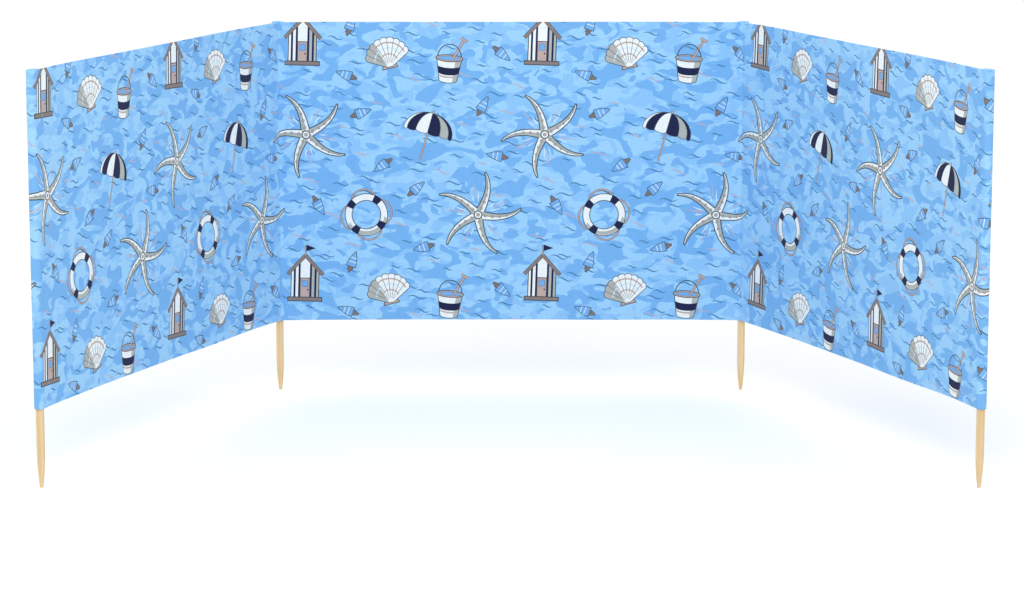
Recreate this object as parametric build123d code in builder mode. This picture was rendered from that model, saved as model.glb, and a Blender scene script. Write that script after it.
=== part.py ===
"""Beach windbreak: three bays of printed cloth on four pointed wooden poles.

The cloth has a tunnel sewn round each pole, closed over the pole's top, and the poles are pushed into
the sand. The middle bay lies along +X at the back, and each side bay swings on its inner pole.
The origin is the centre of the left inner pole's flat tip. +Y is the weather side, -Y the sheltered side.
"""
import os
from math import cos, radians, sin

from build123d import *

# Poles, in millimetres
POLE_LENGTH = 1000.0
POLE_DIAMETER = 20.0
POLE_TIP_DIAMETER = 8.0
POLE_TIP_LENGTH = 90.0
POLE_TOP_CHAMFER = 1.5

# Bays: from pole axis to pole axis, and how far the side bays turn out of the middle bay's line, in degrees
BAY_WIDTH = 1250.0
SIDE_TURN = 66.75

# Cloth
CLOTH_HEIGHT = 808.0
CLOTH_THICKNESS = 0.8
HEM_DEPTH = 18.0
HEM_LAYERS = 2

# Pole tunnels: play round the pole, seam distance from the pole's face, and lap sewn on the panel,
# where the panel's cloth lies between two layers of the tunnel's
SLEEVE_PLAY = 0.3
SEAM_STANDOFF = 12.0
SEAM_LAP = 10.0
SEAM_LAYERS = 3

# Gap in which a side panel's bound edge turns round the tunnel
SWING_GAP = 0.3

# Worked out from the sizes above
CLOTH_TOP = POLE_LENGTH + CLOTH_THICKNESS
CLOTH_BOTTOM = CLOTH_TOP - CLOTH_HEIGHT
TUNNEL_RADIUS = POLE_DIAMETER / 2 + SLEEVE_PLAY
SLEEVE_RADIUS = TUNNEL_RADIUS + CLOTH_THICKNESS
SEAM_REACH = POLE_DIAMETER / 2 + SEAM_STANDOFF
LAP_END = SEAM_REACH + SEAM_LAP
SANDWICH_THICKNESS = SEAM_LAYERS * CLOTH_THICKNESS
HEM_THICKNESS = HEM_LAYERS * CLOTH_THICKNESS
SWING_RADIUS = SLEEVE_RADIUS + SWING_GAP
BOUND_EDGE = SWING_RADIUS + CLOTH_THICKNESS
BINDING_END = BOUND_EDGE + SEAM_LAP

UP = Vector(0, 0, 1)
MIDDLE_RUN = Vector(1, 0, 0)
SIDE_RUN = Vector(cos(radians(SIDE_TURN)), -sin(radians(SIDE_TURN)), 0)
LEFT_INNER = Vector(0, 0, 0)
RIGHT_INNER = LEFT_INNER + MIDDLE_RUN * BAY_WIDTH
RIGHT_OUTER = RIGHT_INNER + SIDE_RUN * BAY_WIDTH
MIDDLE_OF_ROW = Plane.YZ.offset(BAY_WIDTH / 2)


def turn_pole(name, foot):
    """A round pole turned to a blunt ogive point, with its top edge broken."""
    radius = POLE_DIAMETER / 2
    tip_radius = POLE_TIP_DIAMETER / 2
    shoulder = (radius, POLE_TIP_LENGTH)
    with BuildPart() as pole:
        with BuildSketch(Plane(origin=foot, x_dir=(1, 0, 0), z_dir=(0, -1, 0))):
            with BuildLine():
                Line((0, 0), (tip_radius, 0))
                TangentArc(shoulder, (tip_radius, 0), tangent=(0, -1))
                Polyline(
                    shoulder,
                    (radius, POLE_LENGTH - POLE_TOP_CHAMFER),
                    (radius - POLE_TOP_CHAMFER, POLE_LENGTH),
                    (0, POLE_LENGTH),
                    (0, 0),
                )
            make_face()
        revolve(axis=Axis(foot, UP))
    pole.part.label = name
    return pole.part


def plan_at(foot, run):
    """The level plane of the cloth's bottom edge at a pole, with X along the bay."""
    return Plane(origin=foot + UP * CLOTH_BOTTOM, x_dir=run, z_dir=UP)


def section_at(foot, run, start):
    """The upright plane across a bay at a distance from its pole, with X to the weather side and Y up."""
    weather_side = UP.cross(run)
    return Plane(origin=foot + run * start + UP * CLOTH_BOTTOM, x_dir=weather_side, z_dir=run)


def sew_sleeve(name, foot, run):
    """A tunnel: a strip wrapped round the pole, its two edges sewn to both faces of the panel's edge."""
    plan = plan_at(foot, run)
    with BuildPart() as sleeve:
        with BuildSketch(plan):
            Circle(SLEEVE_RADIUS)
            with Locations((SEAM_REACH, 0)):
                Rectangle(CLOTH_THICKNESS, SANDWICH_THICKNESS, align=(Align.MIN, Align.CENTER))
            make_hull()
            with Locations((SEAM_REACH, 0)):
                Rectangle(SEAM_LAP, SANDWICH_THICKNESS, align=(Align.MIN, Align.CENTER))
        extrude(amount=CLOTH_HEIGHT)
        with BuildSketch(plan):
            Circle(TUNNEL_RADIUS)
            with Locations((SEAM_REACH, 0)):
                Rectangle(CLOTH_THICKNESS, CLOTH_THICKNESS, align=(Align.MAX, Align.CENTER))
            make_hull()
        extrude(amount=POLE_LENGTH - CLOTH_BOTTOM, mode=Mode.SUBTRACT)
        with BuildSketch(plan):
            with Locations((SEAM_REACH, 0)):
                Rectangle(SEAM_LAP, CLOTH_THICKNESS, align=(Align.MIN, Align.CENTER))
        extrude(amount=CLOTH_HEIGHT, mode=Mode.SUBTRACT)
    sleeve.part.label = name
    return sleeve.part


def cut_panel(name, foot, run, start, end):
    """A bay's flat panel of cloth, between the seams at its two poles."""
    with BuildPart() as panel:
        with BuildSketch(section_at(foot, run, start)):
            Rectangle(CLOTH_THICKNESS, CLOTH_HEIGHT, align=(Align.CENTER, Align.MIN))
        extrude(amount=end - start)
    panel.part.label = name
    return panel.part


def fold_hem(name, foot, run, start, end, at_top):
    """A hem turned twice onto the weather side, with its fold rounded along the panel's edge."""
    with BuildPart() as hem:
        with BuildSketch(section_at(foot, run, start)) as profile:
            edge_height = CLOTH_HEIGHT if at_top else 0
            edge_side = Align.MAX if at_top else Align.MIN
            with Locations((CLOTH_THICKNESS / 2, edge_height)):
                Rectangle(HEM_THICKNESS, HEM_DEPTH, align=(Align.MIN, edge_side))
            weather_corners = profile.vertices().group_by(Axis.X)[-1].sort_by(Axis.Y)
            fillet(weather_corners[-1 if at_top else 0], radius=HEM_THICKNESS / 2)
        extrude(amount=end - start)
    hem.part.label = name
    return hem.part


def bind_edge(name, foot, run):
    """A strip folded over a side panel's inner edge, hollowed to turn round the tunnel."""
    plan = plan_at(foot, run)
    with BuildPart() as binding:
        with BuildSketch(plan):
            Rectangle(BINDING_END, SANDWICH_THICKNESS, align=(Align.MIN, Align.CENTER))
            Circle(SWING_RADIUS, mode=Mode.SUBTRACT)
            with Locations((BOUND_EDGE, 0)):
                Rectangle(SEAM_LAP, CLOTH_THICKNESS, align=(Align.MIN, Align.CENTER), mode=Mode.SUBTRACT)
        extrude(amount=CLOTH_HEIGHT)
    binding.part.label = name
    return binding.part


def mirror_to_left(right_piece):
    """The left-hand twin of a right-hand piece."""
    with BuildPart() as left:
        mirror(right_piece, about=MIDDLE_OF_ROW)
    left.part.label = right_piece.label.replace("right", "left")
    return left.part


# The middle bay's own pieces
panel_end = BAY_WIDTH - SEAM_REACH
hem_end = BAY_WIDTH - LAP_END
middle_pieces = [
    cut_panel("centre_panel", LEFT_INNER, MIDDLE_RUN, SEAM_REACH, panel_end),
    fold_hem("centre_top_hem", LEFT_INNER, MIDDLE_RUN, LAP_END, hem_end, at_top=True),
    fold_hem("centre_bottom_hem", LEFT_INNER, MIDDLE_RUN, LAP_END, hem_end, at_top=False),
]

# The right half of the row, from the inner pole outwards
right_pieces = [
    turn_pole("right_inner_pole", RIGHT_INNER),
    sew_sleeve("right_inner_sleeve", RIGHT_INNER, -MIDDLE_RUN),
    bind_edge("right_panel_binding", RIGHT_INNER, SIDE_RUN),
    cut_panel("right_panel", RIGHT_INNER, SIDE_RUN, BOUND_EDGE, panel_end),
    fold_hem("right_top_hem", RIGHT_INNER, SIDE_RUN, BINDING_END, hem_end, at_top=True),
    fold_hem("right_bottom_hem", RIGHT_INNER, SIDE_RUN, BINDING_END, hem_end, at_top=False),
    turn_pole("right_outer_pole", RIGHT_OUTER),
    sew_sleeve("right_outer_sleeve", RIGHT_OUTER, -SIDE_RUN),
]
left_pieces = [mirror_to_left(piece) for piece in right_pieces]

os.makedirs("parts", exist_ok=True)
for piece in middle_pieces + right_pieces + left_pieces:
    export_step(piece, f"parts/{piece.label}.step")
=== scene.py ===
import bpy
import numpy as np
from mathutils.geometry import delaunay_2d_cdt
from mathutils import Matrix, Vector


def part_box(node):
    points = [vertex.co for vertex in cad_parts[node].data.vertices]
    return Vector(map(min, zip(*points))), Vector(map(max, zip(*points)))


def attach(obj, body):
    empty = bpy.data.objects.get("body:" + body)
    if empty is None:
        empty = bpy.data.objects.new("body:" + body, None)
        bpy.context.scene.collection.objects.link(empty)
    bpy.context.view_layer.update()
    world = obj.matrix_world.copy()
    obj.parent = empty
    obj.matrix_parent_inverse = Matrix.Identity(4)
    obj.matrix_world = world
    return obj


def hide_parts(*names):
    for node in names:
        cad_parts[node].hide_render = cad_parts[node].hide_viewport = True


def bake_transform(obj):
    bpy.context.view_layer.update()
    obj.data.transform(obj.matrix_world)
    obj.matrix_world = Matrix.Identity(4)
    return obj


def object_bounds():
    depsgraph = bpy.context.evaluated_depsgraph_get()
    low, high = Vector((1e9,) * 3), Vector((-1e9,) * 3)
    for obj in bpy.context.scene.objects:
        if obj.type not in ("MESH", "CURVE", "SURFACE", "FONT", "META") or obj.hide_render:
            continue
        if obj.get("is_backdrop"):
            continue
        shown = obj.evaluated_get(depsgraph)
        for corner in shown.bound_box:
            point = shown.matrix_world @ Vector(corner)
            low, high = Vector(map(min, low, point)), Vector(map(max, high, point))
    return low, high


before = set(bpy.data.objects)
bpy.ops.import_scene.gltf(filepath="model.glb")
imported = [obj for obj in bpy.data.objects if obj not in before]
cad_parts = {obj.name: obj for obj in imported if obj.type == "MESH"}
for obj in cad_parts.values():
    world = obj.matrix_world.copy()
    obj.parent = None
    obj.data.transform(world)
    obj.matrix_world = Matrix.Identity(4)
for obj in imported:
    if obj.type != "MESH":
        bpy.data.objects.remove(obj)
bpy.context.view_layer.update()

# Poles: four round pine dowels that carry the cloth and are pushed into the sand.
# Each is sawn to length and sanded, its foot turned to a blunt point and its top edge broken by hand.
MM = 0.001
POLE_RADIUS = 10 * MM
POLE_TOP_ROUNDING = 1.5 * MM
TIP_RADIUS = 4 * MM
TIP_LENGTH = 90 * MM
TIP_ROUNDING = 0.8 * MM
POLE_SIDES = 48
FOOT_RINGS, SHAFT_RINGS, EDGE_RINGS = 24, 30, 5
GRAIN_WIDTH, GRAIN_LENGTH = 1.6 * MM, 140 * MM
LATEWOOD, EARLYWOOD = "#D8B782", "#F0D4A8"
POLE_BODIES = {"left_outer": "left_bay", "left_inner": "centre_bay",
               "right_inner": "centre_bay", "right_outer": "right_bay"}


def linear(hex_colour):
    """An sRGB hex colour as linear red, green, blue and alpha: a straight part near black, then a power."""
    part = np.array([int(hex_colour[i:i + 2], 16) for i in (1, 3, 5)]) / 255
    part = np.where(part <= 0.04045, part / 12.92, ((part + 0.055) / 1.055) ** 2.4)
    return (*part.tolist(), 1.0)


def node(tree, kind, links=(), values=(), **settings):
    """Adds a node with its settings, socket values and links: each link is (input, from node's output)."""
    made = tree.nodes.new(kind)
    for name, value in settings.items():
        setattr(made, name, value)
    for socket, value in values:
        made.inputs[socket].default_value = value
    for socket, output in links:
        tree.links.new(output, made.inputs[socket])
    return made


def new_material(name):
    """A material with an empty tree, and that tree."""
    material = bpy.data.materials.new(name)
    material.use_nodes = True
    material.node_tree.nodes.clear()
    return material, material.node_tree


def new_piece(name, points, faces, materials):
    """A smooth-shaded mesh piece at the origin, from an array of points and a list of faces."""
    mesh = bpy.data.meshes.new(name)
    mesh.from_pydata(points.tolist(), [], faces)
    mesh.polygons.foreach_set("use_smooth", np.ones(len(mesh.polygons), bool))
    for material in materials:
        mesh.materials.append(material)
    piece = bpy.data.objects.new(name, mesh)
    bpy.context.collection.objects.link(piece)
    return piece


def pine():
    """Sanded pine: straight pale grain with fine darker latewood lines along the pole, matt and dry.

    The lines are noise drawn out along the grain; the bands are the same noise at a share of its rate.
    """
    band_share, band_mix_share = 0.22, 0.45
    dark_level, pale_level = 0.36, 0.62
    material, tree = new_material("sanded_pine")
    place = node(tree, "ShaderNodeTexCoord").outputs["Object"]
    fibres = node(tree, "ShaderNodeMapping", [("Vector", place)],
                  [("Scale", (1 / GRAIN_WIDTH, 1 / GRAIN_WIDTH, 1 / GRAIN_LENGTH))])
    lines = node(tree, "ShaderNodeTexNoise", [("Vector", fibres.outputs[0])],
                 [("Scale", 1.0), ("Detail", 3.0), ("Roughness", 0.55)])
    bands = node(tree, "ShaderNodeTexNoise", [("Vector", fibres.outputs[0])],
                 [("Scale", band_share), ("Detail", 1.0)])
    both = node(tree, "ShaderNodeMix", [("A", lines.outputs["Fac"]), ("B", bands.outputs["Fac"])],
                [("Factor", band_mix_share)], data_type="FLOAT")
    ramp = node(tree, "ShaderNodeValToRGB", [("Fac", both.outputs["Result"])])
    for stop, level, wood in zip(ramp.color_ramp.elements, (dark_level, pale_level), (LATEWOOD, EARLYWOOD)):
        stop.position = level
        stop.color = linear(wood)
    bump = node(tree, "ShaderNodeBump", [("Height", lines.outputs["Fac"])],
                [("Strength", 0.25), ("Distance", 0.3 * MM)])
    shader = node(tree, "ShaderNodeBsdfPrincipled",
                  [("Base Color", ramp.outputs["Color"]), ("Normal", bump.outputs["Normal"])],
                  [("Roughness", 0.62), ("IOR", 1.5)])
    node(tree, "ShaderNodeOutputMaterial", [("Surface", shader.outputs["BSDF"])])
    return material


def tube_faces(rings, sides):
    """The faces of a tube of rings of points: quads between neighbouring rings, and a cap on each end."""
    ring = np.arange(sides)
    after = np.roll(ring, -1)
    start = (np.arange(rings - 1) * sides)[:, None]
    quads = np.stack([start + ring, start + after, start + sides + after, start + sides + ring], axis=2)
    return quads.reshape(-1, 4), np.stack([ring[::-1], ring + (rings - 1) * sides])


def turned_pole(name, foot, height, material):
    """A ring of points about the pole's axis at each height of its profile.

    The foot follows the circle that is upright at the shoulder and meets the tip's edge, so
    radius = R - c + sqrt(c * c - (shoulder - z) ** 2), where c is that circle's radius.
    """
    fall = POLE_RADIUS - TIP_RADIUS
    curve = (TIP_LENGTH ** 2 + fall ** 2) / (2 * fall)
    foot_z = np.linspace(TIP_ROUNDING, TIP_LENGTH, FOOT_RINGS)
    foot_r = POLE_RADIUS - curve + np.sqrt(curve ** 2 - (TIP_LENGTH - foot_z) ** 2)
    corner = np.radians(np.linspace(0, 90, EDGE_RINGS))
    tip_z = TIP_ROUNDING * (1 - np.cos(corner[:-1]))
    tip_r = foot_r[0] - TIP_ROUNDING * (1 - np.sin(corner[:-1]))
    shaft_z = np.linspace(TIP_LENGTH, height - POLE_TOP_ROUNDING, SHAFT_RINGS)[1:-1]
    shaft_r = np.full(len(shaft_z), POLE_RADIUS)
    top_z = height - POLE_TOP_ROUNDING * (1 - np.sin(corner))
    top_r = POLE_RADIUS - POLE_TOP_ROUNDING * (1 - np.cos(corner))
    z = np.concatenate([tip_z, foot_z, shaft_z, top_z])
    r = np.concatenate([tip_r, foot_r, shaft_r, top_r])
    angle = np.linspace(0, 2 * np.pi, POLE_SIDES, endpoint=False)
    rings = [np.outer(r, np.cos(angle)), np.outer(r, np.sin(angle)), np.outer(z, np.ones(POLE_SIDES))]
    points = np.stack(rings, axis=2).reshape(-1, 3) + foot
    quads, caps = tube_faces(len(z), POLE_SIDES)
    return new_piece(name, points, quads.tolist() + caps.tolist(), [material])


pole_material = pine()
pole_axis = {}
for side, body in POLE_BODIES.items():
    low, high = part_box(side + "_pole")
    axis = np.array([(low.x + high.x) / 2, (low.y + high.y) / 2, low.z])
    pole_axis[side] = axis
    dowel = turned_pole(side + "_dowel", axis, high.z - low.z, pole_material)
    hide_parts(side + "_pole")
    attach(dowel, body)

# The print: a beach pattern screened onto pale blue cloth in a dozen inks, repeating every 640 mm both ways.
# Drawn in millimetres on the flat cloth: s runs along it from the left inner pole, v up from its lower edge.
REPEAT = 640
PRINT_DROP = 26
INKS = {"ground": "#A0D4FB", "white": "#F1F7F8", "navy": "#20264C", "line": "#485055", "sand": "#C3ADA8",
        "brown": "#8C7F7D", "blue": "#78B2EC", "ripple": "#4882B4", "fleck": "#BDB2C4", "shade": "#B2B9B6",
        "pale": "#D4ECFB"}
INK_STEPS = 16
LINE = 2.7


def arc(cx, cy, rx, ry, start, end, count):
    """Points on the ellipse about (cx, cy), from one angle to another in degrees."""
    angle = np.radians(np.linspace(start, end, count))
    return np.stack([cx + rx * np.cos(angle), cy + ry * np.sin(angle)], axis=1)


def polar(radius, degrees):
    """Points at the radii and angles given: radius times the angle's cosine and sine."""
    angle = np.radians(degrees)
    return np.stack([radius * np.cos(angle), radius * np.sin(angle)], axis=1)


def block(left, low, right, high):
    """The corners of an upright rectangle, anticlockwise."""
    return np.array([(left, low), (right, low), (right, high), (left, high)], float)


def ribbon(line, width):
    """A stroke: the line's points moved half the width to each side, along the line's normals."""
    ahead = np.gradient(line, axis=0)
    across = np.stack([-ahead[:, 1], ahead[:, 0]], axis=1) / np.hypot(ahead[:, 0], ahead[:, 1])[:, None]
    across *= np.broadcast_to(width, len(line))[:, None] / 2
    return np.concatenate([line - across, (line + across)[::-1]])


def anticlockwise(outline):
    """The outline with its points in anticlockwise order, by the sign of its area."""
    after = np.roll(outline, -1, axis=0)
    area = (outline[:, 0] * after[:, 1] - after[:, 0] * outline[:, 1]).sum()
    return outline if area > 0 else outline[::-1]


def grown(outline, by):
    """The outline moved outwards: each corner by the sum of its edges' normals over 1 + their dot product."""
    least = 0.5
    outline = anticlockwise(outline)
    edge = np.roll(outline, -1, axis=0) - outline
    out = np.stack([edge[:, 1], -edge[:, 0]], axis=1) / np.hypot(edge[:, 0], edge[:, 1])[:, None]
    before = np.roll(out, 1, axis=0)
    square = np.maximum(1 + (out * before).sum(axis=1), least)
    return outline + by * (out + before) / square[:, None]


def drawn(ink, outline, line=LINE):
    """A filled outline with a dark line round it."""
    outline = np.asarray(outline, float)
    return [("line", grown(outline, line)), (ink, outline)]


def stroke(ink, line, width, edge=0.0):
    """A stroke of ink along a line, over a wider dark one if an edge is given."""
    line = np.asarray(line, float)
    under = [("line", ribbon(line, np.asarray(width) + 2 * edge))] if edge else []
    return under + [(ink, ribbon(line, width))]


def placed(shapes, x, y, turn=0.0, size=1.0):
    """The shapes turned, scaled and moved to a place on the cloth."""
    angle = np.radians(turn)
    matrix = size * np.array([[np.cos(angle), np.sin(angle)], [-np.sin(angle), np.cos(angle)]])
    return [(ink, outline @ matrix + (x, y)) for ink, outline in shapes]


def starfish():
    """Five tapering arms that bend one way, each with a shaded half, a ridge and a row of dots.

    Along an arm its ridge turns by the curl times the share of its length squared, and its width falls
    as a power of the share that is left. Pale rays stand between the arms.
    """
    reach, root, tip, curl, taper = 116, 20, 1.2, 18, 0.75
    dot_sizes = (3.0, 2.7, 2.3, 1.8)
    ray_spans = ((-9, 34, 66), (0, 40, 92), (9, 36, 58))
    ray_widths = (0.8, 3.2, 2.4, 0.5)
    share = np.linspace(0, 1, 13)
    rays, arms, shades, marks = [], [], [], []
    for middle in 90 + 72 * np.arange(5):
        ridge = polar(reach * share, middle + curl * share ** 2)
        arm = ribbon(ridge, root * (1 - share) ** taper + tip)
        arms.append(arm)
        shades.append(("shade", np.concatenate([ridge, arm[len(ridge):]])))
        marks += stroke("line", ridge[1:-1], 1.1)
        for at, size in zip(ridge[2:10:2], dot_sizes):
            marks += drawn("sand", arc(*at, size, size, 0, 330, 9), line=0.9)
        for turn, start, end in ray_spans:
            ray = polar(np.linspace(start, end, len(ray_widths)), middle - 36 + turn)
            rays += stroke("pale" if turn else "fleck", ray, ray_widths)
    heart = drawn("white", arc(0, 0, 9, 9, 0, 345, 18))
    heart += drawn("sand", arc(0, 0, 4, 4, 0, 330, 10), line=0.9)
    edges = [("line", grown(arm, LINE)) for arm in arms]
    fills = [("white", arm) for arm in arms]
    return rays + edges + fills + shades + marks + heart


def lifebuoy():
    """A white ring with four navy bands and a rope that loops from band to band, standing off by a cosine."""
    outer, inner, band_half = 61, 41, 11
    loop_half, loop_swell, rope_gap = 34, 11, 3
    shapes = []
    for middle in (0, 90, 180, 270):
        angle = np.linspace(-loop_half, loop_half, 15)
        swell = loop_swell * np.cos(np.radians(angle * 90 / loop_half))
        shapes += stroke("sand", polar(outer + rope_gap + swell, middle + angle), 3.4, edge=1.1)
    shapes += drawn("white", arc(0, 0, outer, outer, 0, 352.5, 48), line=2.4)
    shade_rim = arc(0, 0, outer - 1, outer - 1, 200, 340, 24)
    shade_inside = arc(0, 4, outer - 6, outer - 8, 340, 200, 24)
    shapes.append(("shade", np.concatenate([shade_rim, shade_inside])))
    for middle in (45, 135, 225, 315):
        over = arc(0, 0, outer + 2, outer + 2, middle - band_half, middle + band_half, 8)
        under = arc(0, 0, inner - 1, inner - 1, middle + band_half, middle - band_half, 8)
        shapes += drawn("navy", np.concatenate([over, under]), line=0.8)
    return shapes + drawn("ground", arc(0, 0, inner, inner, 0, 348, 30), line=2.4)


def beach_hut():
    """A striped boarded front under a steep roof, on a low deck, with a door and a pennant.

    All its outlines are straight; each dark board ends at the roof, whose height falls evenly to the eaves.
    """
    half, foot, eaves, ridge = 40, -66, 12, 58
    flag_low, flag_high = ridge + 18, ridge + 36
    board, board_lefts = 6, (-34, -20, 14, 28)
    shade_left = 20
    shapes = stroke("sand", [(0, ridge), (0, flag_low), (0, flag_high)], 2.6, edge=1.0)
    shapes += drawn("navy", [(2, flag_high), (30, (flag_low + flag_high) / 2), (2, flag_low)], line=1.0)
    shapes += drawn("white", [(-half, foot), (half, foot), (half, eaves), (0, ridge), (-half, eaves)])
    shade_top = (shade_left, (eaves + ridge) / 2)
    shapes.append(("shade", np.array([(shade_left, foot), (half, foot), (half, eaves), shade_top])))
    for left in board_lefts:
        right = left + board
        left_top, right_top = (eaves + (ridge - eaves) * (1 - abs(x) / half) for x in (left, right))
        corners = [(left, foot), (right, foot), (right, right_top), (left, left_top)]
        shapes.append(("navy", np.array(corners)))
    shapes += drawn("sand", block(-13, foot, 13, -8))
    shapes += drawn("blue", block(-8, -32, 8, -14), line=1.0)
    shapes += drawn("navy", arc(8, -42, 2.2, 2.2, 0, 315, 8), line=0.4)
    for end in (-1, 1):
        slope = np.linspace((0, ridge + 5), (end * (half + 14), eaves - 9), 5)
        shapes += stroke("brown", slope, 9, edge=1.3)
    return shapes + drawn("brown", block(-half - 10, foot - 9, half + 10, foot))


def scallop():
    """A fan of nine ribs with growth bands and two ears at its hinge.

    The rim's reach falls with the square of the turn from the middle, and swells over each rib by a sine.
    """
    ribs, steps, spread = 9, 10, 66
    hinge, root_half, root_drop = np.array([0, -44]), 9, -3
    bands = ((0.86, 5, "sand"), (0.66, 4, "pale"), (0.44, 4, "sand"))
    groove_start_share, groove_widths = 0.12, (0.8, 1.4, 1.7, 1.7, 1.5, 1.2)
    turn = np.linspace(-spread, spread, ribs * steps + 1)
    way = np.stack([np.sin(np.radians(turn)), np.cos(np.radians(turn))], axis=1)
    reach = 96 - 16 * (turn / spread) ** 2
    swell = 5 * np.abs(np.sin(np.radians(90 * ribs * (turn / spread + 1))))
    rim = hinge + (reach + swell)[:, None] * way
    right_root, left_root = (hinge + (end * root_half, root_drop) for end in (1, -1))
    shapes = drawn("sand", [(-26, -52), (26, -52), (21, -36), (-21, -36)])
    shapes += drawn("white", np.concatenate([rim, [right_root, left_root]]), line=2.4)
    shapes.append(("shade", np.concatenate([rim[:3 * steps + 1], [left_root]])))
    for share, width, ink in bands:
        shapes += stroke(ink, hinge + (share * reach[:, None] * way)[4:-4:2], width)
    for end in rim[steps:-steps:steps]:
        groove = np.linspace(hinge + (end - hinge) * groove_start_share, end, len(groove_widths))
        shapes += stroke("line", groove, groove_widths)
    return shapes


def bucket():
    """A tapered pail with a navy band, a rim, a bail handle and a spade that stands in it.

    Its half width changes evenly from base to rim, and every hoop round it is part of a flat ellipse.
    """
    rim, rim_half, base, base_half, hoop_rise = 16, 40, -56, 28, 8
    navy_band, sand_band = (-8, -32), (-36, -41)
    front_left, shade_left = 180, 300

    def hoop(height, start, end):
        """Part of the ellipse round the pail at a height, between two angles."""
        half = base_half + (rim_half - base_half) * (height - base) / (rim - base)
        return arc(0, height, half, hoop_rise, start, end, 13)

    def stripe(high, low, left):
        """The pail's front between two hoops, from an angle to its right side."""
        return np.concatenate([hoop(high, left, 360), hoop(low, 360, left)])

    shapes = stroke("sand", np.linspace((14, 20), (44, 78), 5), 6, edge=1.3)
    shapes += stroke("sand", np.linspace((33, 84), (56, 72), 4), 7, edge=1.3)
    shapes += stroke("line", arc(0, rim, rim_half - 1, 46, 4, 176, 21), 3.2)
    shapes += drawn("white", np.concatenate([hoop(rim, 0, 180), hoop(base, 180, 360)]), line=2.4)
    shapes.append(("navy", stripe(*navy_band, front_left)))
    shapes.append(("sand", stripe(*sand_band, front_left)))
    shapes.append(("shade", stripe(rim - 2, base, shade_left)))
    shapes.append(("navy", stripe(*navy_band, shade_left)))
    shapes += drawn("sand", arc(0, rim, rim_half + 3, 10, 0, 350, 30))
    shapes += drawn("blue", arc(0, rim, rim_half - 4, 6, 0, 348, 26), line=1.0)
    return shapes + stroke("sand", np.linspace((10, 12), (18, 28), 3), 6, edge=1.3)


def parasol():
    """A beach umbrella of six gores in two colours with a scalloped edge, leaning on its pole.

    Each gore lies between two quarter ellipses from the top, as a dome's seams look from the side.
    """
    radius, lean = 84, -16
    rise = 0.8 * radius
    inks = ("white", "navy", "white", "navy", "shade", "navy")
    t = np.radians(np.linspace(0, 90, 9))
    seams = radius * np.sin(np.radians(np.linspace(-90, 90, len(inks) + 1)))
    shapes = stroke("sand", np.linspace((0, -104), (0, 60), 6), 4.4, edge=1.2)
    for ink, left, right in zip(inks, seams[:-1], seams[1:]):
        down, back = (np.stack([seam * np.sin(t), rise * np.cos(t)], axis=1) for seam in (left, right))
        hem = arc((left + right) / 2, 0, (right - left) / 2, 7, 180, 360, 7)[1:-1]
        shapes += drawn(ink, np.concatenate([down, hem, back[:0:-1]]), line=1.9)
    shapes += drawn("sand", arc(0, rise + 4, 3.4, 5, 0, 330, 10), line=1.1)
    return placed(shapes, 0, 0, lean)


def cone_shell():
    """A small blue cone shell: a body that narrows by a power curve, two bands and a stepped brown spire."""
    shoulder, point, girth, point_half, taper = -14, 30, 12.5, 0.8, 1.7
    spire_steps, spire_share = ((-32, -25, 4), (-26, -19, 7), (-20, -12, 10)), 0.6
    band_width, band_inset = 2.6, 0.5
    x = np.linspace(shoulder, point, 12)
    half = girth * (1 - ((x - shoulder) / (point - shoulder)) ** taper) + point_half
    shapes = []
    for left, right, tall in spire_steps:
        short = tall * spire_share
        shapes += drawn("brown", [(left, -short), (right, -tall), (right, tall), (left, short)], line=1.5)
    body = np.concatenate([np.stack([x, -half], axis=1), np.stack([x, half], axis=1)[::-1]])
    shapes += drawn("blue", body, line=1.9)
    for left, tall in ((x[3], half[3]), (x[6], half[6])):
        right, short = left + band_width, tall - band_inset
        shapes.append(("pale", np.array([(left, -tall), (right, -short), (right, short), (left, tall)])))
    return shapes


def ripple(ink, length, width):
    """A hand-drawn water mark: one low sine wave whose stroke swells and fades by a power of a sine."""
    height_share, swell, least = 0.09, 0.8, 0.25
    share = np.linspace(0, 1, 15)
    wave = height_share * length * np.sin(2 * np.pi * share)
    line = np.stack([length * (share - 0.5), wave], axis=1)
    return stroke(ink, line, width * np.sin(np.pi * share) ** swell + least)


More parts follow.
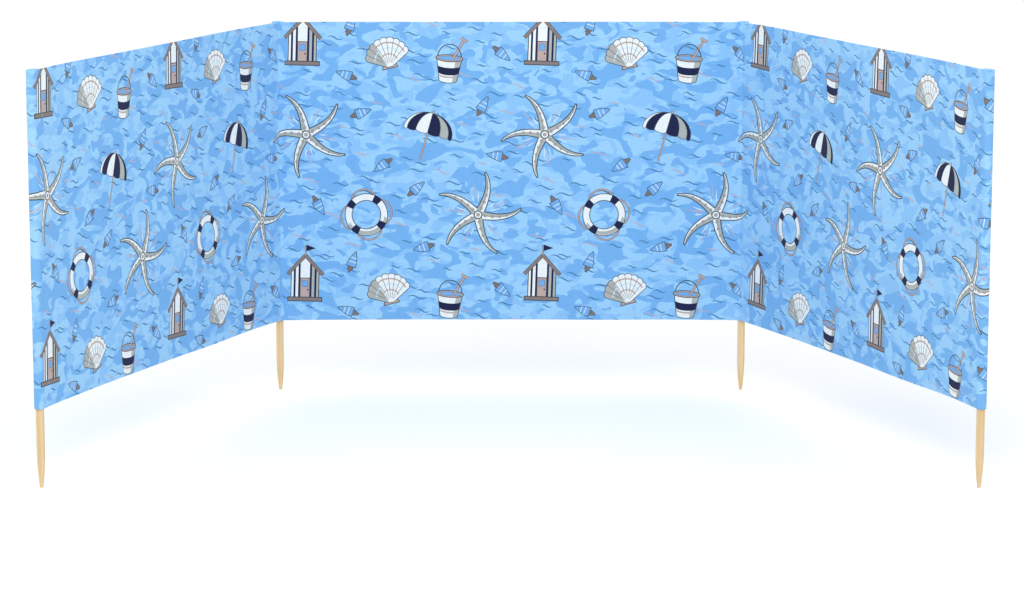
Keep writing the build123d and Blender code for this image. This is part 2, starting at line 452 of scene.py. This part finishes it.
def one_repeat():
    """The shapes of one repeat, lowest layer first: water marks, small shells, then the large figures.

    A water mark lies in each cell of a grid, by chance moved within most of it, lengthened and turned.
    """
    columns, rows, free_share = 10, 13, 0.9
    ripple_width, fleck_width = 3.3, 3.4
    shortest, longer, most_turn = 26, 30, 16
    shell_size = 0.92
    shell_shares = ((0.35, 0.92, 20), (0.44, 0.70, 215), (0.86, 0.95, 60), (0.92, 0.74, 170),
                    (0.17, 0.53, 300), (0.58, 0.60, 40), (0.61, 0.35, 195), (0.31, 0.29, 70),
                    (0.94, 0.17, 320), (0.29, 0.08, 160))
    figure_shares = ((starfish, 0.12, 0.83, 8, 1.0), (parasol, 0.63, 0.84, 0, 0.78),
                     (lifebuoy, 0.37, 0.49, 10, 0.92), (starfish, 0.84, 0.49, 44, 1.0),
                     (beach_hut, 0.11, 0.23, -2, 0.90), (scallop, 0.46, 0.17, 14, 0.76),
                     (bucket, 0.72, 0.13, -4, 0.82))
    shapes = []
    draw = np.random.default_rng(11)
    for column in range(columns):
        for row in range(rows):
            x, y, length, lift = draw.uniform(0, 1, 4)
            at = REPEAT * (column + free_share * x) / columns, REPEAT * (row + free_share * y) / rows
            is_fleck = (column + 3 * row) % 5 == 0
            ink, width = ("fleck", fleck_width) if is_fleck else ("ripple", ripple_width)
            mark = ripple(ink, shortest + longer * length, width)
            shapes += placed(mark, *at, turn=most_turn * (lift - 0.5))
    for x, y, turn in shell_shares:
        shapes += placed(cone_shell(), x * REPEAT, y * REPEAT, turn, shell_size)
    for figure, x, y, turn, size in figure_shares:
        shapes += placed(figure(), x * REPEAT, y * REPEAT, turn, size)
    return [(ink, anticlockwise(outline) - (0, PRINT_DROP)) for ink, outline in shapes]


repeat_shapes = one_repeat()
repeat_boxes = np.array([[outline.min(axis=0), outline.max(axis=0)] for _, outline in repeat_shapes])


def print_over(s_low, s_high, v_low, v_high):
    """The inks and outlines of every repeat that reach into a stretch of the cloth, in painting order."""
    low, high = np.array([s_low, v_low]), np.array([s_high, v_high])
    found = []
    for across in range(int(np.floor(s_low / REPEAT)) - 1, int(np.ceil(s_high / REPEAT)) + 1):
        for up in range(int(np.floor(v_low / REPEAT)) - 1, int(np.ceil(v_high / REPEAT)) + 1):
            shift = np.array([across, up]) * REPEAT
            reaches = ((repeat_boxes[:, 0] + shift < high) & (repeat_boxes[:, 1] + shift > low)).all(axis=1)
            for number in np.flatnonzero(reaches):
                ink, outline = repeat_shapes[number]
                found.append((number, ink, outline + shift))
    found.sort(key=lambda shape: shape[0])
    return [ink for _, ink, _ in found], [outline for _, _, outline in found]


# The cloth: plain-weave polycotton, printed on one face, with the colours paler where they strike through.
# One width is laid round all the poles; every stretch of it is cut from the same print.
CLOTH_THICKNESS = 0.5 * MM
THREAD_SPACING = 1.2 * MM
SLUB_WIDTH, SLUB_LENGTH = 1.6 * MM, 26 * MM
PATCHES = ((49 * MM, 31 * MM, 0.8, 0.51, "#90C8F8"), (63 * MM, 40 * MM, 1.0, 0.53, "#79B6EF"))
PATCH_START = (-50.0, -90.0, 0.0)
PATCH_EDGE = 0.012
STRIKE_THROUGH, STRIKE_THROUGH_SHARE = "#B4DAF8", 0.45
MERGE_SHARE = 1e-3


def printed_cotton(name, is_back):
    """Printed plain weave: flat inks over a ground of two layers of patches, on dull, slightly fuzzy cloth.

    A patch is where stretched noise passes a level. The weave is the higher of two crossed waves, which at
    scale 1 repeat every pi / 10, and slubs are noise drawn out along both yarns. Threads and slubs are drawn
    coarser than life, so that they show.
    """
    wave_period = np.pi / 10
    material, tree = new_material(name)
    place = node(tree, "ShaderNodeUVMap", uv_map="cloth").outputs["UV"]
    ground = node(tree, "ShaderNodeRGB")
    ground.outputs["Color"].default_value = linear(INKS["ground"])
    colour = ground.outputs["Color"]
    for wide, tall, warp, level, patch in PATCHES:
        stretch = node(tree, "ShaderNodeMapping", [("Vector", place)],
                       [("Scale", (wide, tall, 1.0)), ("Location", PATCH_START)], vector_type="TEXTURE")
        blot = node(tree, "ShaderNodeTexNoise", [("Vector", stretch.outputs[0])],
                    [("Scale", 1.0), ("Detail", 1.2), ("Roughness", 0.45), ("Distortion", warp)])
        mask = node(tree, "ShaderNodeMapRange", [("Value", blot.outputs["Fac"])],
                    [("From Min", level), ("From Max", level + PATCH_EDGE)])
        layer = node(tree, "ShaderNodeMix", [("Factor", mask.outputs["Result"]), ("A", colour)],
                     [("B", linear(patch))], data_type="RGBA")
        colour = layer.outputs["Result"]
    ink = node(tree, "ShaderNodeAttribute", attribute_name="ink").outputs["Fac"]
    ramp = node(tree, "ShaderNodeValToRGB", [("Fac", ink)])
    ramp.color_ramp.interpolation = "CONSTANT"
    stops = ramp.color_ramp.elements
    stops.remove(stops[1])
    for number, shade in enumerate(INKS.values()):
        stop = stops.new(number / INK_STEPS) if number else stops[0]
        stop.color = linear(shade)
    inked = node(tree, "ShaderNodeMath", [(0, ink)], [(1, 1 / INK_STEPS)], operation="GREATER_THAN")
    layer = node(tree, "ShaderNodeMix",
                 [("Factor", inked.outputs[0]), ("A", colour), ("B", ramp.outputs["Color"])],
                 data_type="RGBA")
    colour = layer.outputs["Result"]
    if is_back:
        layer = node(tree, "ShaderNodeMix", [("A", colour)],
                     [("Factor", STRIKE_THROUGH_SHARE), ("B", linear(STRIKE_THROUGH))], data_type="RGBA")
        colour = layer.outputs["Result"]
    threads, slubs = [], []
    for direction, size in (("X", (SLUB_WIDTH, SLUB_LENGTH, 1.0)), ("Y", (SLUB_LENGTH, SLUB_WIDTH, 1.0))):
        wave = node(tree, "ShaderNodeTexWave", [("Vector", place)],
                    [("Scale", wave_period / THREAD_SPACING), ("Distortion", 0.6), ("Detail", 1.0),
                     ("Detail Scale", 0.2)], bands_direction=direction)
        stretch = node(tree, "ShaderNodeMapping", [("Vector", place)],
                       [("Scale", size)], vector_type="TEXTURE")
        slub = node(tree, "ShaderNodeTexNoise", [("Vector", stretch.outputs[0])],
                    [("Scale", 1.0), ("Detail", 2.0)])
        threads.append(wave.outputs["Fac"])
        slubs.append(slub.outputs["Fac"])
    weave = node(tree, "ShaderNodeMath", list(enumerate(threads)), operation="MAXIMUM")
    yarn = node(tree, "ShaderNodeMath", list(enumerate(slubs)), operation="ADD")
    value = node(tree, "ShaderNodeMapRange", [("Value", yarn.outputs[0])],
                 [("From Min", 0.6), ("From Max", 1.4), ("To Min", 0.90), ("To Max", 1.10)])
    shaded = node(tree, "ShaderNodeHueSaturation", [("Color", colour), ("Value", value.outputs["Result"])])
    height = node(tree, "ShaderNodeMath", [(0, weave.outputs[0]), (1, yarn.outputs[0])], operation="ADD")
    bump = node(tree, "ShaderNodeBump", [("Height", height.outputs[0])],
                [("Strength", 0.2), ("Distance", 0.2 * MM)])
    shader = node(tree, "ShaderNodeBsdfPrincipled",
                  [("Base Color", shaded.outputs["Color"]), ("Normal", bump.outputs["Normal"])],
                  [("Roughness", 0.9), ("Specular IOR Level", 0.2), ("Sheen Weight", 0.06)])
    node(tree, "ShaderNodeOutputMaterial", [("Surface", shader.outputs["BSDF"])])
    return material


cloth_face = printed_cotton("printed_cotton", False)
cloth_back = printed_cotton("printed_cotton_reverse", True)


def divided(outline):
    """The outline with points added along its edges, so that none is longer than 1 across or up."""
    edge = np.roll(outline, -1, axis=0) - outline
    parts = np.ceil(np.abs(edge).max(axis=1)).astype(int).clip(1)
    at = np.repeat(np.arange(len(outline)), parts)
    share = (np.arange(parts.sum()) - np.repeat(np.cumsum(parts) - parts, parts)) / parts[at]
    return outline[at] + share[:, None] * edge[at]


def cut_along_print(s_span, v_span, step):
    """A rectangle of flat cloth cut along every print outline: its points, triangles and their ink numbers.

    Each triangle takes the ink of the topmost outline over it. The cutting is done in steps of the grid, so
    that triangles stay narrow across a bend and long up it.
    """
    inks, outlines = print_over(*s_span, *v_span)
    outlines = [divided(outline / step) for outline in outlines]
    s, v = (np.linspace(*span, max(2, int(np.ceil((span[1] - span[0]) / size)) + 1))
            for span, size in zip((s_span, v_span), step))
    grid = np.stack(np.meshgrid(s, v), axis=2).reshape(-1, 2) / step
    corners = [0, len(s) - 1, len(grid) - 1, len(grid) - len(s)]
    ends = np.cumsum([len(grid)] + [len(outline) for outline in outlines])
    loops = [corners] + [list(range(a, b)) for a, b in zip(ends[:-1], ends[1:])]
    points = np.concatenate([grid] + outlines).tolist()
    flat, _, faces, _, _, over = delaunay_2d_cdt(points, [], loops, 0, MERGE_SHARE)
    inside = np.array([0 in ids for ids in over])
    top = np.array([max(ids, default=0) for ids in over])[inside]
    used, faces = np.unique(np.array(faces)[inside], return_inverse=True)
    ink_numbers = np.array([0] + [list(INKS).index(ink) for ink in inks])
    return np.array(flat)[used] * step, faces.reshape(-1, 3), ink_numbers[top]


def lay_cloth(name, s_span, v_span, step, place):
    """A stretch of printed cloth: cut flat along the print, then put in space by place(s, v).

    Its cut edges are marked sharp, so that shading doesn't run round them.
    """
    flat, faces, ink_numbers = cut_along_print(s_span, v_span, np.array(step))
    piece = new_piece(name, place(flat[:, 0], flat[:, 1]), faces.tolist(), [cloth_face, cloth_back])
    mesh = piece.data
    ink = mesh.attributes.new("ink", "FLOAT", "FACE")
    ink.data.foreach_set("value", ((ink_numbers + 0.5) / INK_STEPS).astype(np.float32))
    uv = mesh.uv_layers.new(name="cloth")
    uv.uv.foreach_set("vector", (flat[faces.ravel()] * MM).astype(np.float32).ravel())
    edge_of_corner = np.empty(len(mesh.loops), np.int32)
    mesh.loops.foreach_get("edge_index", edge_of_corner)
    cut_edge = np.bincount(edge_of_corner, minlength=len(mesh.edges)) == 1
    sharp = mesh.attributes.new("sharp_edge", "BOOLEAN", "EDGE")
    sharp.data.foreach_set("value", cut_edge)
    thickness = piece.modifiers.new("thickness", "SOLIDIFY")
    thickness.thickness = CLOTH_THICKNESS
    thickness.offset = -1.0
    thickness.material_offset = 1
    return piece


# Panels: the three flat bays of cloth, stretched between the poles and a little slack in the middle.
# Each passes in front of its poles and is held only along their tunnels, so shallow waves run across it.
panel_low, panel_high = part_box("centre_panel")
LOWER_EDGE = panel_low.z
CLOTH_HEIGHT = (panel_high.z - panel_low.z) / MM
BAY = (pole_axis["right_inner"][0] - pole_axis["left_inner"][0]) / MM
BAYS = {"left": ("left_outer", "left_inner", -BAY, "left_bay"),
        "centre": ("left_inner", "right_inner", 0.0, "centre_bay"),
        "right": ("right_inner", "right_outer", BAY, "right_bay")}
TUNNEL_HALF = 24
SEAM_STAND = 9.1
STAND_RUN = 220
WAVE_HEIGHT = 2.6 * MM
WAVE_SHARES = ((1.0, 1.7, 0.45, 0.6), (0.55, 3.1, -0.6, 0.0), (0.3, 0.8, 1.4, 2.0))
FOLD_RISE = 1.0
PANEL_STEP = (26, 26)
UP = np.array([0.0, 0.0, 1.0])


def bay_frame(bay):
    """A bay's direction from pole to pole, and its shelter side, square to it and to the poles."""
    start, end = (pole_axis[pole] for pole in BAYS[bay][:2])
    run = (end - start) / np.linalg.norm(end - start)
    return run, np.array([run[1], -run[0], 0.0])


def between_seams(bay):
    """Where a bay's panel begins and ends on the flat cloth: half a tunnel inside its poles."""
    first = BAYS[bay][2]
    return first + TUNNEL_HALF, first + BAY - TUNNEL_HALF


def stand_off(u):
    """How far a bay's cloth stands in front of the poles' line: most at each tunnel, falling by a square."""
    beyond = np.clip(np.minimum(u, BAY - u) - TUNNEL_HALF, 0, STAND_RUN)
    return SEAM_STAND * (1 - beyond / STAND_RUN) ** 2


def slack(u, v):
    """How far the cloth waves to the shelter side: slanting sines times a sine that is zero at both poles."""
    across, up = u / BAY, v / CLOTH_HEIGHT
    fade = np.sin(np.pi * np.clip((u - TUNNEL_HALF) / (BAY - 2 * TUNNEL_HALF), 0, 1))
    waves = sum(height * np.sin(2 * np.pi * (run * across + rise * up) + phase)
                for height, run, rise, phase in WAVE_SHARES)
    return WAVE_HEIGHT * fade * waves


def on_bay(bay, s, v, lift=0.0):
    """Points of a bay's cloth from their flat place: along the bay, up, and out by stand-off and slack."""
    run, shelter = bay_frame(bay)
    start, _, first, _ = BAYS[bay]
    u = s - first
    out = stand_off(u) * MM + slack(u, np.clip(v, 0, CLOTH_HEIGHT)) + lift
    level = pole_axis[start] + (u * MM)[:, None] * run + out[:, None] * shelter
    return level + (LOWER_EDGE + v * MM)[:, None] * UP


for bay, (start, end, _, body) in BAYS.items():
    span = between_seams(bay)
    panel = lay_cloth(bay + "_cloth", span, (FOLD_RISE, CLOTH_HEIGHT - FOLD_RISE), PANEL_STEP,
                      lambda s, v: on_bay(bay, s, v))
    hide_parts(bay + "_panel")
    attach(panel, body)

# Inner tunnels: at each inner pole the cloth runs past the pole in one fold, which is the hinge.
# A strip of the same cloth is sewn to its back on both sides, so that the pole stands in a tunnel.
# The tunnel's top is sewn shut, and the pole is pushed in from below.
STRIP_LAP = 10
STRIP_RISE = 1.2
STRIP_RADIUS = 11.6
STRIP_CUT = 260
STRIP_RUCK_SHARE = 0.015
RUCK_LENGTH = 37.0
FOLD_LENGTH = 6.0
LID_WIDTH, LID_CROWN = 24.0, 2.4
CORNER_STEP, STRIP_STEP, LID_STEP = (1.5, 16), (2.0, 16), (0.75, 2.0)
FULL_HEIGHT = (0, CLOTH_HEIGHT)


def along(path, distance):
    """Points at given distances along a path of short straight steps."""
    gone = np.concatenate([[0.0], np.cumsum(np.linalg.norm(np.diff(path, axis=0), axis=1))])
    return np.stack([np.interp(distance, gone, path[:, 0]), np.interp(distance, gone, path[:, 1])], axis=1)


def path_length(path):
    """The sum of a path's steps."""
    return np.linalg.norm(np.diff(path, axis=0), axis=1).sum()


def bend(first, middle, last, count):
    """A quadratic curve from the first point to the last that sets out towards the middle one."""
    first, middle, last = np.array([first, middle, last])
    t = np.linspace(0, 1, count)[:, None]
    return (1 - t) ** 2 * first + 2 * t * (1 - t) * middle + t ** 2 * last


def round_pole(near, far, centre, radius):
    """A strip's path from one seam point, tangent to a circle about the pole, and on to the other seam.

    It leaves each seam along the line that touches the circle, at the angle whose cosine is the radius over
    the seam's distance.
    """
    reach = [np.asarray(point) - centre for point in (near, far)]
    open_by = [np.arccos(radius / np.hypot(*way)) for way in reach]
    start, end = (np.arctan2(way[1], way[0]) for way in reach)
    start, end = start + open_by[0], end - open_by[1]
    end += 2 * np.pi * (end < start)
    wrap = arc(*centre, radius, radius, np.degrees(start), np.degrees(end), 40)
    return np.concatenate([[near], wrap, [far]])


def corner_paths(turn):
    """Plan paths round an inner pole whose bays stand at an angle, in millimetres from its axis.

    The fold goes from seam to seam by the point where both bays' sloping faces would meet, rounded there.
    The strip goes from lap to lap behind the bays and round the pole; wrap is its part between the seams.
    """
    here, there = np.array([1.0, 0.0]), np.array([np.cos(turn), np.sin(turn)])
    here_back, there_back = np.array([0.0, 1.0]), np.array([np.sin(turn), -np.cos(turn)])
    bays = (here, here_back), (there, there_back)
    edges = [TUNNEL_HALF * way - SEAM_STAND * back for way, back in reversed(bays)]
    slope = 2 * SEAM_STAND / STAND_RUN
    half_cos = np.linalg.norm(here + there) / 2
    half_sin = np.sqrt(1 - half_cos ** 2)
    fold_reach = (SEAM_STAND + slope * TUNNEL_HALF) / (half_sin + slope * half_cos)
    fold_point = fold_reach * (here + there) / (2 * half_cos)
    first, last = (fold_point + FOLD_LENGTH * (edge - fold_point) / np.linalg.norm(edge - fold_point)
                   for edge in edges)
    fold = np.concatenate([edges[:1], bend(first, fold_point, last, 24), edges[1:]])
    lap_ends, seams = ([reach * way - (stand_off(reach) - STRIP_RISE) * back for way, back in bays]
                       for reach in (TUNNEL_HALF + STRIP_LAP, TUNNEL_HALF))
    wrap = round_pole(*seams, np.zeros(2), STRIP_RADIUS)
    return edges, fold, wrap, np.concatenate([lap_ends[:1], wrap, lap_ends[1:]])


def about_pole(stand, path, v, ruck=0.0):
    """Points of a plan path round a pole at heights v, drawn in and out off the seams by sines of height."""
    foot, ahead, leftward = stand
    free = np.clip(2 - 2 * np.hypot(path[:, 0], path[:, 1]) / TUNNEL_HALF, 0, 1)
    breathe = 1 + ruck * free * np.sin(v / RUCK_LENGTH) * np.sin(np.pi * v / CLOTH_HEIGHT)
    flat = (path[:, :1] * ahead + path[:, 1:] * leftward) * (breathe[:, None] * MM)
    return foot + flat + (LOWER_EDGE + v * MM)[:, None] * UP


def lid(stand, front, back):
    """The closed top of a tunnel, as lay_cloth takes it: straight threads from its front path to its back.

    It is crowned like a cushion, by a sine along the threads times a sine across them.
    """
    length = path_length(front)

    def over(s, v):
        """Points a share t along both paths and a share w of the way between them, raised by the crown."""
        t, w = s / length, (v - CLOTH_HEIGHT) / LID_WIDTH
        near, far = (along(path, t * path_length(path)) for path in (front, back))
        crown = LID_CROWN * np.sin(np.pi * w) * np.sin(np.pi * t)
        return about_pole(stand, near + (far - near) * w[:, None], CLOTH_HEIGHT + crown)

    return (0, length), (CLOTH_HEIGHT, CLOTH_HEIGHT + LID_WIDTH), LID_STEP, over


for side, before, after in (("left", "left", "centre"), ("right", "centre", "right")):
    pole = side + "_inner"
    foot = pole_axis[pole]
    ahead, shelter = bay_frame(after)
    leftward = -shelter
    stand = foot, ahead, leftward
    back_run = -bay_frame(before)[0]
    turn = np.arctan2(back_run @ leftward, back_run @ ahead) % (2 * np.pi)
    edges, fold, wrap, strip = corner_paths(turn)
    fold_length, strip_length = path_length(fold), path_length(strip)
    join = BAYS[after][2]
    corner = (join - TUNNEL_HALF, join + TUNNEL_HALF)
    ease = fold_length / (2 * TUNNEL_HALF)
    corner_cloth = lay_cloth(side + "_corner_cloth", corner, FULL_HEIGHT, CORNER_STEP,
                             lambda s, v: about_pole(stand, along(fold, (s - corner[0]) * ease), v))
    cut = join + STRIP_CUT
    tunnel_strip = lay_cloth(side + "_inner_tunnel", (cut, cut + strip_length), FULL_HEIGHT, STRIP_STEP,
                             lambda s, v: about_pole(stand, along(strip, s - cut), v, STRIP_RUCK_SHARE))
    tunnel_top = lay_cloth(side + "_inner_tunnel_top", *lid(stand, fold, wrap[::-1]))
    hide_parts(side + "_inner_sleeve", side + "_panel_binding")
    seam_points = [tuple(foot + (edge[0] * ahead + edge[1] * leftward) * MM) for edge in edges]
    if side == "left":
        seam_points.reverse()
    for piece in (corner_cloth, tunnel_strip, tunnel_top):
        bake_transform(piece)

# Outer tunnels: at each end the cloth is turned round the pole onto its own back and sewn down in two rows.
# The tunnel is a loose fit, so its end stands a few millimetres clear of the pole.
END_SLACK = 2.0
END_RADIUS = 12.0
END_RUCK_SHARE = 0.012
end_wrap = round_pole((TUNNEL_HALF, SEAM_STAND), (TUNNEL_HALF, SEAM_STAND - STRIP_RISE),
                      np.array([-END_SLACK, 0.0]), END_RADIUS)
lap_end = TUNNEL_HALF + STRIP_LAP, stand_off(TUNNEL_HALF + STRIP_LAP) - STRIP_RISE
end_path = np.concatenate([end_wrap, [lap_end]])
end_length = path_length(end_path)
outermost = int(end_path[:, 0].argmin())
end_front, end_back = end_path[:outermost + 1], end_path[outermost + 1:-1][::-1]

for side in ("left", "right"):
    run, shelter = bay_frame(side)
    left_seam, right_seam = between_seams(side)
    foot = pole_axis[side + "_outer"]
    if side == "left":
        stand, begin = (foot, run, shelter), left_seam - end_length
        path, front, back = end_path[::-1], end_front[::-1], end_back[::-1]
    else:
        stand, begin = (foot, -run, shelter), right_seam
        path, front, back = end_path, end_front, end_back
    end_cloth = lay_cloth(side + "_outer_tunnel", (begin, begin + end_length), FULL_HEIGHT, STRIP_STEP,
                          lambda s, v: about_pole(stand, along(path, s - begin), v, END_RUCK_SHARE))
    end_top = lay_cloth(side + "_outer_tunnel_top", *lid(stand, front, back))
    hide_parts(side + "_outer_sleeve")
    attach(end_cloth, BAYS[side][3])
    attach(end_top, BAYS[side][3])

# Hems: along the top and bottom of each bay the cloth is turned twice onto the weather side, 18 mm deep.
# The printed face shows again on the hem; the fold stays round, and stitching pulls its edge into puckers.
HEM_DEPTH = 18.0
HEM_RISE = 1.9
HEM_EDGE_RISE, HEM_EDGE_ROUNDING = 0.7, 1.0
PUCKER, PUCKER_LENGTH = 0.25, 17
HEM_STEP = (8, 0.9)
hem_end = FOLD_RISE - HEM_DEPTH
hem_fold = np.concatenate([
    arc(HEM_RISE / 2, 0, HEM_RISE / 2, FOLD_RISE, 180, 0, 13),
    bend((HEM_RISE, hem_end + HEM_EDGE_ROUNDING), (HEM_RISE, hem_end), (HEM_EDGE_RISE, hem_end), 8)])
hem_length = path_length(hem_fold)

for bay, (_, _, _, body) in BAYS.items():
    span = between_seams(bay)
    for edge, up, fold_line in (("top", 1, CLOTH_HEIGHT - FOLD_RISE), ("bottom", -1, FOLD_RISE)):

        def folded(s, v):
            """The panel's edge carried on round the fold's profile, out of true by a sine towards its end."""
            gone = up * (v - fold_line)
            profile = along(hem_fold, np.clip(gone, 0, hem_length))
            pucker = PUCKER * np.sin(2 * np.pi * s / PUCKER_LENGTH) * np.clip(gone / hem_length, 0, 1)
            return on_bay(bay, s, fold_line + up * profile[:, 1], -(profile[:, 0] + pucker) * MM)

        depth = sorted((fold_line, fold_line + up * hem_length))
        hem = lay_cloth(f"{bay}_{edge}_folded_hem", span, depth, HEM_STEP, folded)
        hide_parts(f"{bay}_{edge}_hem")
        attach(hem, body)

# Stitching: lockstitched polyester thread in a matching pale blue, through every hem and tunnel seam.
# It shows as a row of short bars on both faces, pulled a little into the cloth at each end.
STITCH_PITCH = 4.5
STITCH_LENGTH = 3.4
STITCH_ARCH, STITCH_SINK = 0.22, 0.08
THREAD_RADIUS = 0.28
THREAD_STAND = 0.1
THREAD_DARK, THREAD_PALE = "#8DB9E2", "#B9DAF5"
PLY_LENGTH = 1.1 * MM
HEM_ROW, HEM_ROW_INSET = 14.5, 2
SEAM_ROWS = (TUNNEL_HALF + 2.5, TUNNEL_HALF + 7.5)
SEAM_ROW_LOW, SEAM_ROW_HIGH = 6.0, CLOTH_HEIGHT - 5


def polyester_thread():
    """Twisted polyester sewing thread: a slight sheen over fine plies, drawn longer than life by noise."""
    material, tree = new_material("sewing_thread")
    place = node(tree, "ShaderNodeTexCoord").outputs["Object"]
    plies = node(tree, "ShaderNodeTexNoise", [("Vector", place)],
                 [("Scale", 1 / PLY_LENGTH), ("Detail", 2.0)])
    ramp = node(tree, "ShaderNodeValToRGB", [("Fac", plies.outputs["Fac"])])
    for stop, tint in zip(ramp.color_ramp.elements, (THREAD_DARK, THREAD_PALE)):
        stop.color = linear(tint)
    shader = node(tree, "ShaderNodeBsdfPrincipled", [("Base Color", ramp.outputs["Color"])],
                  [("Roughness", 0.55)])
    node(tree, "ShaderNodeOutputMaterial", [("Surface", shader.outputs["BSDF"])])
    return material


thread_material = polyester_thread()


def stitched(name, rows, body):
    """Bars of thread at each row's points: rings round a low arch, out of the cloth by a cosine."""
    sides = 5
    way_shares = np.array([-0.5, -0.24, 0.24, 0.5])
    thick = THREAD_RADIUS * np.array([0.45, 1.0, 1.0, 0.45])
    arch = STITCH_ARCH * np.cos(np.pi * way_shares) - STITCH_SINK
    angle = 2 * np.pi * np.arange(sides) / sides
    length = np.repeat(way_shares * STITCH_LENGTH, sides)
    across = np.outer(thick, np.cos(angle)).ravel()
    out = np.outer(thick, np.sin(angle)).ravel() + np.repeat(arch, sides)
    quads, caps = tube_faces(len(way_shares), sides)
    bars, faces, count = [], [], 0
    for places, forward, outward in rows:
        sideways = np.cross(outward, forward)
        bar = length[:, None] * forward + across[:, None] * sideways + out[:, None] * outward
        bars.append((places[:, None] + bar * MM).reshape(-1, 3))
        begin = (count + len(bar) * np.arange(len(places)))[:, None, None]
        faces += (quads + begin).reshape(-1, 4).tolist() + (caps + begin).reshape(-1, sides).tolist()
        count += len(bar) * len(places)
    piece = new_piece(name, np.concatenate(bars), faces, [thread_material])
    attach(piece, body)


for bay, (_, _, first, body) in BAYS.items():
    run, shelter = bay_frame(bay)
    left_seam, right_seam = between_seams(bay)
    s = np.arange(left_seam + HEM_ROW_INSET, right_seam - HEM_ROW_INSET, STITCH_PITCH)
    v = np.arange(SEAM_ROW_LOW, SEAM_ROW_HIGH, STITCH_PITCH)
    lines = [(s, np.full(len(s), height), run, HEM_RISE) for height in (HEM_ROW, CLOTH_HEIGHT - HEM_ROW)]
    lines += [(np.full(len(v), at), v, UP, STRIP_RISE)
              for row in SEAM_ROWS for at in (first + row, first + BAY - row)]
    rows = []
    for line_s, line_v, forward, depth in lines:
        rows.append((on_bay(bay, line_s, line_v), forward, shelter))
        rows.append((on_bay(bay, line_s, line_v, -(depth + THREAD_STAND) * MM), forward, -shelter))
    stitched(bay + "_stitching", rows, body)

# Floor and light: a plain white studio floor under an even white sky, with a large soft lamp high in front
# and a small low one at the left. The floor is white to the camera, and a pale grey to the light it sends up.
FLOOR_HALF = 30
FLOOR_BOUNCE, WHITE = "#E4E4E4", "#FFFFFF"
FLOOR_LIFT = 0.08
SKY_STRENGTH = 0.95
LAMPS = (("front_lamp", (0.6, -5.4, 4.2), (0.6, -0.3, 0.5), 3.0, 92.0),
         ("side_lamp", (-4.5, 0.5, 0.7), (0.4, -0.4, 0.1), 1.2, 26.0))

floor_mesh = bpy.data.meshes.new("floor")
floor_corners = [(x, y, 0) for x, y in block(-FLOOR_HALF, -FLOOR_HALF, FLOOR_HALF, FLOOR_HALF)]
floor_mesh.from_pydata(floor_corners, [], [(0, 1, 2, 3)])
floor = bpy.data.objects.new("floor", floor_mesh)
bpy.context.collection.objects.link(floor)
floor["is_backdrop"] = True
floor_material, tree = new_material("white_studio_floor")
seen = node(tree, "ShaderNodeLightPath").outputs["Is Camera Ray"]
tint = node(tree, "ShaderNodeMix", [("Factor", seen)],
            [("A", linear(FLOOR_BOUNCE)), ("B", linear(WHITE))], data_type="RGBA")
matt = node(tree, "ShaderNodeBsdfDiffuse", [("Color", tint.outputs["Result"])])
lift = node(tree, "ShaderNodeMath", [(0, seen)], [(1, FLOOR_LIFT)], operation="MULTIPLY")
glow = node(tree, "ShaderNodeEmission", [("Strength", lift.outputs[0])])
both = node(tree, "ShaderNodeAddShader", [(0, matt.outputs[0]), (1, glow.outputs[0])])
node(tree, "ShaderNodeOutputMaterial", [("Surface", both.outputs[0])])
floor_mesh.materials.append(floor_material)

world = bpy.data.worlds.new("studio")
world.use_nodes = True
sky = world.node_tree.nodes["Background"]
sky.inputs["Color"].default_value = linear(WHITE)
sky.inputs["Strength"].default_value = SKY_STRENGTH
bpy.context.scene.world = world

for name, place, target, size, power in LAMPS:
    lamp_data = bpy.data.lights.new(name, "AREA")
    lamp_data.size = size
    lamp_data.energy = power
    lamp = bpy.data.objects.new(name, lamp_data)
    lamp.location = place
    aim = np.array(target) - np.array(place)
    lamp.rotation_euler = (np.arctan2(np.hypot(aim[0], aim[1]), -aim[2]), 0.0, np.arctan2(-aim[0], aim[1]))
    bpy.context.collection.objects.link(lamp)

# Camera: in front of the open side, level across and almost at the middle of the row.
# It stands far off with a long lens, and looks slightly down at the middle bay.
CAMERA_DISTANCE, CAMERA_HEIGHT, CAMERA_PITCH = 9.059, 1.886, 10.29
CAMERA_SIDE = 0.004
CAMERA_LENS, SENSOR_WIDTH = 119.6, 36.0
CAMERA_SIGHT = 100.0

camera_data = bpy.data.cameras.new("camera")
camera_data.lens = CAMERA_LENS
camera_data.sensor_width = SENSOR_WIDTH
camera_data.clip_end = CAMERA_SIGHT
camera = bpy.data.objects.new("camera", camera_data)
camera.location = (BAY * MM / 2 + CAMERA_SIDE, -CAMERA_DISTANCE, CAMERA_HEIGHT)
camera.rotation_euler = (np.radians(90 - CAMERA_PITCH), 0.0, 0.0)
bpy.context.collection.objects.link(camera)
bpy.context.scene.camera = camera
bpy.context.scene.view_settings.view_transform = "Standard"

low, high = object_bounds()
